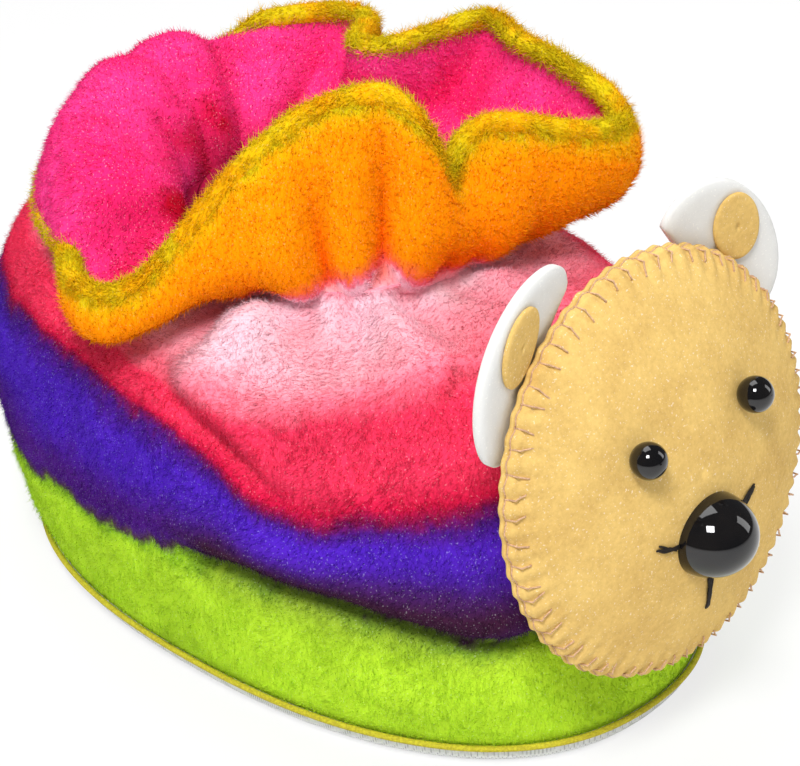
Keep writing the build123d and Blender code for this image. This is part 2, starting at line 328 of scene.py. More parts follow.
def frill_plush(t):
    """Orange outside: deep orange in the gathers' valleys as painted shade, yellow-green towards the
    rolled rim.
    """
    run = t.attribute("run")
    ragged = t.noise(t.place((300, 300, 160)), 1.0, 3.0, 0.7)
    where = t.plus(run, t.times(t.less(ragged, 0.5), 0.22))
    colour = t.ramp(where, (
        (0.00, PINK_PALE), (0.07, PINK_PALE), (0.11, PINK), (0.16, ORANGE_WARM), (0.24, ORANGE),
        (0.84, ORANGE),
        (0.93, RIM_MIX), (0.985, RIM_GREEN), (1.0, RIM_GREEN),
    ))
    # painted shade: deep orange in the pleats' valleys, strongest near the neck
    shade_share = t.span(t.attribute("hollow"), 0.2, 1.0)
    near = t.span(run, 0.75, 0.25)
    colour = t.mix(t.times(t.times(shade_share, near), 0.75), colour, ORANGE_PAINTED_SHADE)
    return use_group(t, NAP, Dye=colour, Contrast=0.18, Glints=0.15)


def lining_plush(t):
    run = t.attribute("run")
    ragged = t.noise(t.place((140, 140, 140)), 1.0, 3.0, 0.6)
    where = t.plus(run, t.times(t.less(ragged, 0.5), 0.5))
    # painted shade: deep magenta low in the cup by the neck, paler pink towards the rim
    colour = t.ramp(where, ((0.0, MAGENTA_PAINTED_SHADE), (0.12, MAGENTA_PAINTED_SHADE), (0.32, MAGENTA), (0.62, MAGENTA),
        (0.95, MAGENTA_PINK)))
    clouds = t.noise(t.place((36, 36, 36)), 1.0, 2.0)
    colour = t.mix(t.times(t.span(clouds, 0.42, 0.66), 0.75), colour, MAGENTA_PINK)
    # painted shade: deep magenta behind the pleats' ridges and in the bowl on the left
    shade_share = t.span(t.attribute("hollow"), 0.25, 1.0)
    colour = t.mix(t.times(shade_share, 0.92), colour, MAGENTA_PAINTED_SHADE)
    return use_group(t, NAP, Dye=colour, Contrast=0.22, Glints=0.35)


def rim_plush(t):
    patches = t.noise(t.place((90, 90, 90)), 1.0, 3.0)
    outward = t.plus(t.times(t.attribute("outward"), 0.10), patches)
    colour = t.mix(t.span(outward, 0.42, 0.64), RIM_GREEN, RIM_MIX)
    return use_group(t, NAP, Dye=colour, Contrast=0.25, Glints=0.15)


def plain(group, **values):
    return lambda t: use_group(t, group, **values)


def thread_look(colour):
    def build(t):
        twist = t.noise(t.place((1800, 1800, 1800)), 1.0, 2.0)
        shade = t.mix(1.0, colour, (0.68, 0.64, 0.64), "MULTIPLY")
        return t.mix(t.span(twist, 0.35, 0.65), shade, colour), twist
    return build


def bead_look(t):
    """Moulded black: hardly uneven, so that reflections stay sharp."""
    haze = t.noise(t.place((160, 160, 160)), 1.0, 2.0)
    return t.mix(t.span(haze, 0.3, 0.7), BEAD_BLACK, (0.008, 0.007, 0.007)), None


PLUSH_BODY = surface("striped plush", striped_plush, specular=0.06, bump=0.5, depth=0.0012)
PLUSH_FRILL = surface("orange plush", frill_plush, specular=0.06, bump=0.5, depth=0.0012)
PLUSH_LINING = surface("magenta plush", lining_plush, specular=0.06, bump=0.5, depth=0.0012)
PLUSH_RIM = surface("yellow green plush", rim_plush, specular=0.06, bump=0.5, depth=0.001)
# painted shade: dark red standing in for the shade down in the neck pit
PLUSH_POCKET = surface("pocket plush", plain(NAP, Dye=POCKET_SHADED_RED, Contrast=0.4, Glints=0.1),
    specular=0.06)
TAN_FELT = surface("tan felt", plain(FELT_GROUP, Wool=TAN, Shade=TAN_SHADE, Contrast=0.75), specular=0.1,
                   bump=0.55, depth=0.0005)
EAR_FELT_WHITE = surface("white felt", plain(FELT_GROUP, Wool=WHITE_FELT, Shade=(0.62, 0.61, 0.60),
    Contrast=0.25),
                         specular=0.1, bump=0.4, depth=0.0004)
MAUVE_THREAD = surface("mauve thread", thread_look(THREAD_MAUVE), roughness=0.8, bump=0.3, depth=0.0002)
BLACK_THREAD = surface("black thread", thread_look(THREAD_BLACK), roughness=0.75, bump=0.3, depth=0.0002)
SEAM_THREAD = surface("yellow seam thread", thread_look(SEAM_YELLOW), roughness=0.8, bump=0.3,
    depth=0.0002)
BEAD = surface("black bead", bead_look, roughness=0.05, coat=0.3, specular=0.4)
WASHER = surface("washer", bead_look, roughness=0.5)
SOLE_WEAVE = surface("sole weave", plain(WEAVE, Yarn=WEAVE_WHITE, Gap=(0.45, 0.45, 0.47)), roughness=0.9,
                     bump=0.5, depth=0.0003)
STUFFING = surface("stuffing", plain(FELT_GROUP, Wool=WADDING, Shade=(0.6, 0.58, 0.52), Contrast=0.3),
    bump=0.3)
INSOLE_BOARD = surface("insole board", plain(FELT_GROUP, Wool=BOARD, Shade=(0.3, 0.22, 0.13),
    Contrast=0.5), bump=0.2)


def dress(name, material):
    mesh = nodes[name].data
    mesh.materials.clear()
    mesh.materials.append(material)


# ------------------------------------------------------------------ mesh helpers
def make_piece(name, points, faces, material, body, values=None, map_points=None, smooth=True):
    mesh = bpy.data.meshes.new(name)
    mesh.from_pydata([tuple(p) for p in points], [], faces)
    mesh.validate()
    if smooth:
        mesh.polygons.foreach_set("use_smooth", [True] * len(mesh.polygons))
    for label, numbers in (values or {}).items():
        layer = mesh.attributes.new(label, "FLOAT", "POINT")
        layer.data.foreach_set("value", np.asarray(numbers, np.float32))
    if map_points is not None:
        uv = mesh.uv_layers.new(name="OFBake")
        corner = np.empty(len(mesh.loops), np.int32)
        mesh.loops.foreach_get("vertex_index", corner)
        uv.data.foreach_set("uv", np.asarray(map_points, np.float32)[corner].ravel())
    mesh.materials.append(material)
    piece = bpy.data.objects.new(name, mesh)
    bpy.context.scene.collection.objects.link(piece)
    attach(piece, body)
    return piece


def grid_normals(grid, closed=True):
    """Unit normals of a grid of points [up, around, 3]."""
    if closed:
        around = np.roll(grid, -1, 1) - np.roll(grid, 1, 1)
    else:
        around = np.gradient(grid, axis=1)
    up = np.gradient(grid, axis=0)
    normal = np.cross(around, up)
    size = np.linalg.norm(normal, axis=2, keepdims=True)
    return normal / np.maximum(size, 1e-12)


def blur_grid(grid, rounds, closed=True):
    for _ in range(rounds):
        if closed:
            grid = grid * 0.5 + (np.roll(grid, 1, 1) + np.roll(grid, -1, 1)) * 0.25
        inner = grid[1:-1] * 0.5 + (grid[2:] + grid[:-2]) * 0.25
        grid = np.concatenate([grid[:1], inner, grid[-1:]])
    return grid


def thick_cloth(outer, inner, keep=None):
    """Closed sheet between two grids [up, around, 3] that close on themselves sideways."""
    rows, around = outer.shape[:2]
    total = rows * around
    if keep is None:
        keep = np.ones((rows - 1, around), bool)
    faces = []
    edges = {}
    for i in range(rows - 1):
        for j in range(around):
            if not keep[i, j]:
                continue
            k = (j + 1) % around
            a, b, c, d = i * around + j, i * around + k, (i + 1) * around + k, (i + 1) * around + j
            faces.append((a, b, c, d))
            faces.append((total + a, total + d, total + c, total + b))
            for p, q in ((a, b), (b, c), (c, d), (d, a)):
                if (q, p) in edges:
                    del edges[(q, p)]
                else:
                    edges[(p, q)] = True
    for p, q in edges:
        faces.append((q, p, total + p, total + q))
    points = np.concatenate([outer.reshape(-1, 3), inner.reshape(-1, 3)])
    used = np.zeros(len(points), bool)
    used[np.array([v for f in faces for v in f])] = True
    renumber = np.cumsum(used) - 1
    faces = [tuple(int(renumber[v]) for v in f) for f in faces]
    return points, faces, used


def grid_map(rows, around):
    """Flat places for a thick cloth: the outer face below, the inner face above."""
    v, u = np.meshgrid(np.linspace(0.01, 0.48, rows), np.linspace(0.01, 0.99, around), indexing="ij")
    lower = np.stack([u.ravel(), v.ravel()], 1)
    return np.concatenate([lower, lower + (0, 0.51)])


def cloth_piece(name, outer, inner, material, body, values, keep=None):
    points, faces, used = thick_cloth(outer, inner, keep)
    doubled = {k: np.concatenate([v.ravel(), v.ravel()])[used] for k, v in values.items()}
    flat = grid_map(*outer.shape[:2])
    return make_piece(name, points[used], faces, material, body, doubled, flat[used])


def scatter(grid, count, rng, keep=None):
    """Random places on a closed grid, even by area: cell row, cell column and place in it."""
    right = np.roll(grid, -1, 1)
    size = np.linalg.norm(np.cross((right - grid)[:-1], (grid[1:] - grid[:-1])), axis=2)
    if keep is not None:
        size = size * keep
    chance = (size / size.sum()).ravel()
    cell = rng.choice(len(chance), count, p=chance)
    return cell // grid.shape[1], cell % grid.shape[1], rng.random(count), rng.random(count)


def sample(grid, spots):
    i, j, v, u = spots
    k = (j + 1) % grid.shape[1]
    if grid.ndim == 3:
        v = v[:, None]
        u = u[:, None]
    return (grid[i, j] * (1 - u) + grid[i, k] * u) * (1 - v) + (grid[i + 1, j] * (1 - u) + grid[i + 1, k]
        * u) * v


def hairs(name, roots, normals, comb, length, width, rng, material, body, slot, values, flat, lift=0.32,
    stray=0.30):
    """Tapered closed spikes: each leaves its root along the comb and lifts off the cloth."""
    count = len(roots)
    wild = rng.normal(size=(count, 3)) * stray
    heading = comb + normals * lift + wild
    heading /= np.linalg.norm(heading, axis=1, keepdims=True)
    reach = length * (0.55 + 0.75 * rng.random(count))[:, None]
    across = np.cross(heading, normals)
    across /= np.maximum(np.linalg.norm(across, axis=1, keepdims=True), 1e-9)
    third = np.cross(heading, across)
    base = roots - normals * width
    half = width * 0.5
    a = base + across * half
    b = base - across * half * 0.5 + third * half * 0.87
    c = base - across * half * 0.5 - third * half * 0.87
    tip = roots + heading * reach
    points = np.stack([a, b, c, tip], 1).reshape(-1, 3)
    start = np.arange(count) * 4
    triangles = np.concatenate([
        np.stack([start, start + 2, start + 1], 1), np.stack([start, start + 1, start + 3], 1),
        np.stack([start + 1, start + 2, start + 3], 1), np.stack([start + 2, start, start + 3], 1),
    ])
    spread = {k: np.repeat(v, 4) for k, v in values.items()}
    nudge = np.tile(np.array([[0, 0], [0.0012, 0], [0, 0.0012], [0.0012, 0.0012]]), (count, 1))
    place = np.repeat(flat, 4, axis=0) * 0.99 + nudge
    return make_piece(name, points, triangles.tolist(), material, body, spread, place)


def bell(off, width, power=2):
    """A bump that is 1 where off is 0 and fades over width; a higher power flattens its top."""
    return np.exp(-((off / width) ** power))


def wander(points, size, seed):
    """Smooth noise from -1 to 1 at each point of an array [..., 3]."""
    flat = points.reshape(-1, 3) / size
    out = [noise.noise(Vector((float(p[0]) + seed, float(p[1]) - seed,
        float(p[2]) + 2 * seed))) for p in flat]
    return np.array(out).reshape(points.shape[:-1])


def around_curve(angle, stops):
    """A value that runs smoothly round the body through stops of (angle in degrees, value)."""
    at = np.array([s[0] for s in stops], float)
    worth = np.array([s[1] for s in stops], float)
    at = np.concatenate([at - 360, at, at + 360])
    worth = np.tile(worth, 3)
    fine = np.linspace(-180, 540, 1441)
    level = np.interp(fine, at, worth)
    kernel = np.hanning(31)
    level = np.convolve(level, kernel / kernel.sum(), "same")
    return np.interp(np.degrees(angle) % 360, fine, level)


# ------------------------------------------------------------------ body
AROUND = 264
ROWS = 88
PILE_BACK = 0.0030
skin_low, skin_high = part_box("body_skin")


def ray_tree(name):
    mesh = nodes[name].data
    return BVHTree.FromPolygons([v.co for v in mesh.vertices], [list(p.vertices) for p in mesh.polygons])


def outline_grid(name, low, high, rows, top_bias=1.0):
    """The outermost face of a CAD node, read by rays from outside, as a grid."""
    tree = ray_tree(name)
    lo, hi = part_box(name)
    half_x = (hi.x - lo.x) / 2
    half_y = (hi.y - lo.y) / 2
    grid = np.zeros((rows, AROUND, 3))
    for i in range(rows):
        z = low + (high - low) * (i / (rows - 1)) ** top_bias
        reach = np.full(AROUND, np.nan)
        for j in range(AROUND):
            turn = 2 * pi * j / AROUND
            way = Vector((half_x * cos(turn), half_y * sin(turn), 0)).normalized()
            hit, _, _, far = tree.ray_cast(Vector((0, 0, z)) + way * 0.4, -way, 0.4)
            if hit is not None:
                reach[j] = 0.4 - far
        typical = np.nanmedian(reach)
        before = np.roll(reach, 8)
        after = np.roll(reach, -8)
        with np.errstate(all="ignore"):
            near = np.fmax(before, after)
            reach[reach < near - 0.009] = np.nan
        good = ~np.isnan(reach)
        index = np.arange(AROUND)
        if good.any():
            reach = np.interp(index,
                np.concatenate([index[good] - AROUND, index[good], index[good] + AROUND]),
                              np.tile(reach[good], 3))
        else:
            reach[:] = typical
        for j in range(AROUND):
            turn = 2 * pi * j / AROUND
            way = Vector((half_x * cos(turn), half_y * sin(turn), 0)).normalized()
            grid[i, j] = (way.x * reach[j], way.y * reach[j], z)
    return grid


LIME_EDGE = ((90, 34), (130, 34), (143, 33), (157, 33), (182, 37.8), (206, 42.4), (222, 40.2),
    (236, 38.5),
             (246, 35), (270, 35), (300, 37), (330, 39), (0, 38), (40, 36))
PURPLE_EDGE = ((90, 70), (125, 70.6), (144, 70), (162, 69.3), (183, 68.4), (202, 61), (211, 56),
    (223, 57),
               (234, 61), (245, 64.5), (270, 67), (310, 62), (340, 60), (0, 66), (45, 69))
CORAL_EDGE = ((90, 84), (125, 83), (162, 76.8), (191, 74.8), (208, 76.2), (226, 81), (238, 82.7),
    (259, 85.7),
              (290, 86), (320, 82), (0, 77), (50, 80))
# gathers at the neck: direction, half width, height and length down the body in mm, and how far
# the fold swings round for each mm it runs down
GATHERS = (
    (196, 5, 3.0, 14, 0), (213, 8, 7.0, 27, -0.75), (228, 5, 3.0, 12, 0), (243, 7, 8.0, 30, 0.1),
    (262, 7, 3.0, 20, 0.3),
    (279, 7, 5.5, 24, 0.2), (297, 6, 3.5, 18, 0), (313, 7, 5.0, 26, 0.3), (331, 6, 3.5, 18, 0),
    (349, 7, 4.6, 24, -0.2),
    (8, 6, 3.0, 18, 0), (27, 8, 4.4, 28, 0.3), (46, 6, 3.0, 18, 0), (66, 7, 4.2, 24, -0.3),
    (86, 6, 3.0, 20, 0),
    (105, 7, 3.6, 26, 0.3), (124, 6, 2.6, 18, 0), (143, 7, 3.4, 24, -0.2), (160, 6, 2.6, 18, 0),
    (178, 7, 4.0, 24, -0.3),
)
# hollows and swells of the shoulders: neck direction, distance down the body, half sizes, height
SWELLS = (
    (227, 14, 9, 7, -2.2), (222, 28, 24, 6, 3.4), (190, 13, 8, 8, -1.5), (262, 18, 8, 8, -1.6),
    (250, 32, 16, 8, 2.0),
    (205, 11, 20, 6, 2.4), (276, 12, 16, 6, 2.0),
    (296, 14, 8, 7, -3.0), (322, 20, 8, 9, -2.5), (350, 26, 20, 8, 1.6), (18, 16, 8, 8, -2.5),
    (56, 18, 8, 9, -2.5),
    (76, 26, 20, 8, 1.4), (95, 16, 8, 8, -2.0), (134, 16, 8, 8, -2.0), (155, 18, 34, 13, -4.0),
)
FOLD_LINE = ((150, 84), (170, 80), (185, 74), (200, 68), (212, 61.5), (225, 59.5), (240, 62), (256, 66),
    (300, 64),
             (330, 62), (0, 66), (40, 70), (90, 80), (120, 84))
# swells of the frill: direction, share of its height, half sizes, height outwards
FRILL_SWELLS = (
    (148, 0.55, 6, 0.30, -4.5), (164, 0.50, 9, 0.30, 3.5), (100, 0.55, 4, 0.40, 3.0),
    (110, 0.60, 5, 0.35, -3.0),
    (126, 0.60, 5, 0.35, 2.5), (60, 0.60, 7, 0.30, -3.0), (78, 0.60, 5, 0.35, 2.5),
    (345, 0.55, 8, 0.30, -3.0),
    (4, 0.50, 7, 0.30, 2.5), (318, 0.60, 8, 0.30, 2.5), (243, 0.55, 4, 0.35, -3.0),
    (222, 0.45, 4, 0.30, -3.0),
)
# how much further up the frill the pink runs, as a share of its height
PINK_REACH = (
    (180, 0.02), (198, 0.05), (210, 0.14), (222, -0.03), (230, 0.03), (238, 0.10), (243, 0.20),
    (249, 0.08),
    (258, -0.06), (268, -0.06), (280, 0.06), (300, 0.0), (330, 0.08), (0, 0.0), (40, 0.08), (90, 0.0),
    (140, 0.05),
)
# pleats of the frill: direction, half width, depth in mm and share of the height they run up
PLEATS = (
    (196, 6, 2.6, 0.35), (214, 7, 5.0, 0.80), (232, 5, 4.6, 0.85), (254, 7, 5.0, 0.80),
    (272, 5, 2.0, 0.30),
    (287, 6, 3.4, 0.55), (303, 6, 3.4, 0.50), (321, 7, 3.8, 0.60), (338, 5, 3.2, 0.50),
    (354, 6, 3.8, 0.65),
    (12, 5, 3.0, 0.45), (33, 7, 4.4, 0.80), (52, 6, 3.6, 0.60), (72, 6, 4.4, 0.90), (92, 6, 3.4, 0.70),
    (112, 7, 4.4, 0.90), (133, 6, 3.6, 0.80), (152, 6, 4.2, 0.70), (174, 7, 3.4, 0.50),
)
NECK_Y = (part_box("neck_elastic")[0].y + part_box("neck_elastic")[1].y) / 2


def body_grids():
    grid = outline_grid("body_skin", skin_low.z + 0.0002, skin_high.z - 0.0004, ROWS, 0.72)
    grid = blur_grid(grid, 2)
    normal = grid_normals(grid)
    x, y, z = (grid[..., k] / MM for k in range(3))
    angle = np.arctan2(y, x)
    lime = around_curve(angle, LIME_EDGE)
    purple = around_curve(angle, PURPLE_EDGE)
    coral = around_curve(angle, CORAL_EDGE)
    top = skin_high.z / MM
    dye = np.where(z < lime, z / lime,
                   np.where(z < purple, 1 + (z - lime) / (purple - lime),
                            np.where(z < coral, 2 + (z - purple) / (coral - purple),
                                     3 + (z - coral) / (top - coral))))
    neck_angle = np.degrees(np.arctan2(y - NECK_Y / MM, x)) % 360
    below = np.linalg.norm(grid - grid[-1:], axis=2) / MM
    move = wander(grid, 0.034, 3.1) * 2.2 + wander(grid * (1, 1, 1.6), 0.015, 9.2) * 0.9
    lifted = np.zeros_like(z)
    for direction, wide, high, long, swing in GATHERS:
        off = (neck_angle - direction - swing * below + 180) % 360 - 180
        spread = wide * (0.75 + below / 60.0)
        lifted += high * bell(off, spread) * bell(below, long)
    anchor = 1 - bell(below, 4.5)
    move += lifted * anchor - 2.0 * bell(below, 18.0)
    sunk = 0
    for direction, down, wide, tall, high in SWELLS:
        off = (neck_angle - direction + 180) % 360 - 180
        swell = high * bell(off, wide) * bell(below - down, tall)
        move += swell
        # how far the swells sink, kept for the painted shade mask
        sunk = sunk + np.clip(-swell, 0, 4) / 4
    facing = np.degrees(angle) % 360
    side = bell(facing - 226, 40.0, 4)
    back_side = bell(facing - 60, 40.0, 4) * 0.6
    groove = bell(z - lime + 0.8, 2.2)
    roll = bell(z - lime - 6.0, 4.5)
    move += (side + back_side) * (roll * 3.8 - groove * 4.0)
    fold = around_curve(angle, FOLD_LINE)
    fold_side = bell(facing - 192, 26.0, 4) + 0.5 * bell(facing - 330, 30.0, 4)
    fold_side *= 0.75 + 0.8 * wander(grid, 0.022, 12.5)
    fold_groove = bell(z - fold, 2.6)
    fold_roll = bell(z - fold - 7.0, 4.5)
    move += fold_side * (fold_roll * 2.4 - fold_groove * 3.0)
    move = np.maximum(move, -2.0 - below * 0.25)
    fade = np.clip((z - 5.0) / 8.0, 0, 1)
    move *= fade
    # painted shade mask: valleys between the gathers near the neck, the fold's crease and the sunken
    # swells
    hollow = np.clip(0.70 - lifted / 4.5, 0,
        1) * bell(below, 24.0) + fold_side * fold_groove * 0.7 + sunk * 0.55
    # painted shade under the purple's roll on the front left
    hollow += bell(facing - 222, 34.0, 4) * bell(dye - 1.25, 0.36) * 1.1
    front = bell(x, 26.0, 4) * (y < -60) * (z > 40) * (z < 84)
    move = np.where(move > 0, move * (1 - front), move)
    outer = grid + normal * (move * MM)[..., None]
    return outer, dye, np.clip(hollow, 0, 1), grid + normal * (np.minimum(move, 0) * MM - 0.0037)[...,
        None], grid, np.minimum(move, 0) * MM


skin, dye, hollow, wad_face, skin_rest, sink = body_grids()
skin_normal = grid_normals(skin)
HOLE_CUT = 0.0150
HOLE_BARE = 0.0185
HOLE_FRONT = -0.055
swivel_low, swivel_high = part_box("swivel_ring")
swivel = Vector((0, (swivel_low.y + swivel_high.y) / 2, (swivel_low.z + swivel_high.z) / 2))
middle = (skin[:-1] + skin[1:] + np.roll(skin, -1, 1)[:-1] + np.roll(skin, -1, 1)[1:]) / 4
off_axis = np.hypot(middle[..., 0], middle[..., 2] - swivel.z)
keep_skin = ~((off_axis < HOLE_CUT) & (middle[..., 1] < HOLE_FRONT))
clear_of_hole = ~((off_axis < HOLE_BARE) & (middle[..., 1] < HOLE_FRONT))
skin_back = skin - skin_normal * PILE_BACK
skin_back[..., 2] = np.clip(skin_back[..., 2], skin_low.z, skin_high.z - 0.0006)
plush_body = cloth_piece("plush_body", skin, skin_back, PLUSH_BODY, "body",
                         {"dye": dye, "hollow": hollow}, keep_skin)
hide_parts("body_skin")

pocket_low, pocket_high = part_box("hand_lining")
pocket = blur_grid(outline_grid("hand_lining", pocket_low.z + 0.0006, pocket_high.z - 0.0004, 48, 0.8), 2)
pocket_normal = grid_normals(pocket)
pocket_rest = pocket
WAD_TOP = 0.076
under = np.stack([sink[int(np.abs(skin_rest[:, 0, 2] - z).argmin())] for z in pocket[:, 0, 2]])
shoulder = np.clip((pocket[..., 2] - 0.066) / 0.010, 0, 1)
pocket = pocket + pocket_normal * (under * 1.8 - shoulder * 0.0015)[..., None]
wad_rows = [i for i in range(0, ROWS, 2) if skin_rest[i, 0, 2] < WAD_TOP]


def at_level(grid, z):
    """The ring of a grid at a height, between its two nearest rows."""
    levels = grid[:, 0, 2]
    i = int(np.clip(np.searchsorted(levels, z) - 1, 0, len(levels) - 2))
    share = float(np.clip((z - levels[i]) / (levels[i + 1] - levels[i]), 0, 1))
    return grid[i] * (1 - share) + grid[i + 1] * share


wad_outer = wad_face[wad_rows]
wad_inner = np.stack([at_level(pocket_rest + pocket_normal * 0.0004,
    skin_rest[r, 0, 2]) for r in wad_rows])
keep_wad = keep_skin[[min(r, ROWS - 2) for r in wad_rows[:-1]]]
wadding = cloth_piece("body_wadding", wad_outer, wad_inner, STUFFING, "body", {}, keep_wad)
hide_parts("body_padding")

floor_rows = np.linspace(0.04, 0.96, 8)[:, None, None]
floor_ring = pocket[:1] * (1, 1, 0) * floor_rows
floor_outer = floor_ring + (0, 0, pocket_low.z)
cup_outer = np.concatenate([floor_outer, pocket])
cup_inner = np.concatenate([floor_outer + (0, 0, 0.002), pocket - pocket_normal * 0.002])
cup_inner[8:, :, 2] = np.maximum(cup_inner[8:, :, 2], pocket_low.z + 0.002)
wrinkle = wander(cup_inner, 0.016, 5.5) * 0.0006
cup_inner[8:] += (-pocket_normal) * wrinkle[8:, :, None].clip(-0.0006, 0.0006)
cup_middle = (cup_outer[:-1] + cup_outer[1:]) / 2
keep_cup = ~((np.hypot(cup_middle[..., 0], cup_middle[..., 2] - swivel.z) < HOLE_CUT)
    & (cup_middle[..., 1] < -0.045))


def fill_hole(outer, inner, row):
    """Closes the middle of a floor grid by pulling its first row to the centre."""
    outer[row] = outer[row] * 0 + outer[row].mean(0)
    inner[row] = inner[row] * 0 + inner[row].mean(0)


fill_hole(cup_outer, cup_inner, 0)
pocket_lining = cloth_piece("pocket_lining", cup_outer, cup_inner, PLUSH_POCKET, "body",
    {}, keep_cup)
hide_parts("hand_lining")

rng = np.random.default_rng(20)
down = np.gradient(skin, axis=0)
down = -down / np.maximum(np.linalg.norm(down, axis=2, keepdims=True), 1e-9)
along = np.cross(down, skin_normal)
flat_skin = grid_map(ROWS, AROUND)[: ROWS * AROUND].reshape(ROWS, AROUND, 2)
HAIRS = 49000
RIM_HAIRS = 40000
BODY_HAIR = (0.0018, 0.00017)
FRILL_HAIR_WIDTH = 0.00020
RIM_HAIR = (0.0026, 0.00022)


def body_nap(name, low, high, slot="plush_body"):
    inside = (dye[:-1] >= low) & (dye[:-1] < high) & clear_of_hole
    spots = scatter(skin, HAIRS, rng, inside)
    shade = sample(dye, spots)
    swirl = wander(sample(skin, spots), 0.010, 6.6)[:, None] * 1.6 + rng.normal(size=(len(shade),
        1)) * 0.7 + 0.5
    comb = sample(down, spots) * 0.55 + sample(along, spots) * swirl
    hairs(name, sample(skin, spots), sample(skin_normal, spots), comb, *BODY_HAIR, rng,
          PLUSH_BODY, "body", slot, {"dye": shade, "hollow": sample(hollow, spots)},
          sample(flat_skin, spots))


body_nap("nap_lime", 0.0, 1.0)
body_nap("nap_purple", 1.0, 2.0)
body_nap("nap_coral", 2.0, 3.0)
body_nap("nap_pink", 3.0, 4.1)

# ------------------------------------------------------------------ frill
FRILL_AROUND = 360
FRILL_ROWS = 44
frill_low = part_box("frill_outer")[0]
neck_low, neck_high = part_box("neck_elastic")
NECK_X_HALF = (neck_high.x - neck_low.x) / 2 / MM + 0.4
NECK_Y_HALF = (neck_high.y - neck_low.y) / 2 / MM + 0.4
# rim of the frill: direction at the neck, then x, y from the neck's middle and height, then how it
# leaves the neck: -1 sags out and low, 0 stands up, 1 arches high and curls over
RIM = (
    (350, 53, -13, 120.5, -0.4), (2, 57, 1, 121, -0.4), (12, 39, 7, 120.5, -0.1), (19, 29, 10, 121, 0.2),
    (27, 31, 17, 120, 0.2), (36, 42, 24, 119.5, -0.2), (50, 45, 39, 117, -0.3), (64, 31, 50, 116, 0.2),
    (79, 16, 58, 109, 0.9), (92, 2, 64, 103, 1.25), (107, -12, 63, 100, 1.3), (122, -31, 57, 99, 1.2),
    (138, -42, 43, 96, 1.0), (150, -48, 30, 95.5, 0.4), (160, -57.5, 15, 95.5, -0.6),
    (172, -57, 5, 95.5, -1.0),
    (182, -51, -2, 100, -1.0), (193, -44, -8, 110, -0.95), (205, -35, -14, 121, -0.75),
    (218, -25, -20, 130, -0.45),
    (232, -17, -27, 135, -0.2), (245, -10, -34, 136, -0.1), (254, -7, -39, 131, -0.2),
    (261, -4.5, -42, 123, -0.4),
    (267, -1, -42, 115, -0.5), (272, 3, -40, 116, -0.6), (278, 6, -40, 121, -0.7),
    (285, 11, -43, 124, -0.8),
    (293, 19, -47, 122, -0.9), (302, 29, -51, 118, -1.0), (312, 40, -53, 115, -1.0),
    (321, 48, -47, 115, -1.0),
    (331, 52, -37, 117, -0.8), (341, 52, -25, 119, -0.5),
)


def smooth_loop(rows, count):
    """Even points on a closed smooth curve through rows of numbers."""
    control = np.array(rows, float)
    control[:, 0] = np.unwrap(np.radians(control[:, 0]))
    gap = np.linalg.norm(np.diff(control[:, 1:4], axis=0, append=control[:1, 1:4]), axis=1)
    at = np.concatenate([[0], np.cumsum(gap)])
    closing = control[:1].copy()
    closing[0, 0] += 2 * pi
    control = np.concatenate([control, closing])
    fine = np.linspace(0, at[-1], count, endpoint=False)
    n = len(at) - 1
    seg = np.clip(np.searchsorted(at, fine, side="right") - 1, 0, n - 1)
    t = ((fine - at[seg]) / gap[seg])[:, None]
    turn = np.zeros(control.shape[1])
    turn[0] = 2 * pi
    before = np.where((seg == 0)[:, None], control[n - 1] - turn, control[np.maximum(seg - 1, 0)])
    after = np.where((seg == n - 1)[:, None], control[1] + turn, control[np.minimum(seg + 2, n)])
    p1 = control[seg]
    p2 = control[seg + 1]
    out = 0.5 * (2 * p1 + (p2 - before) * t + (2 * before - 5 * p1 + 4 * p2 - after) * t**2
                 + (3 * p1 - before - 3 * p2 + after) * t**3)
    return out


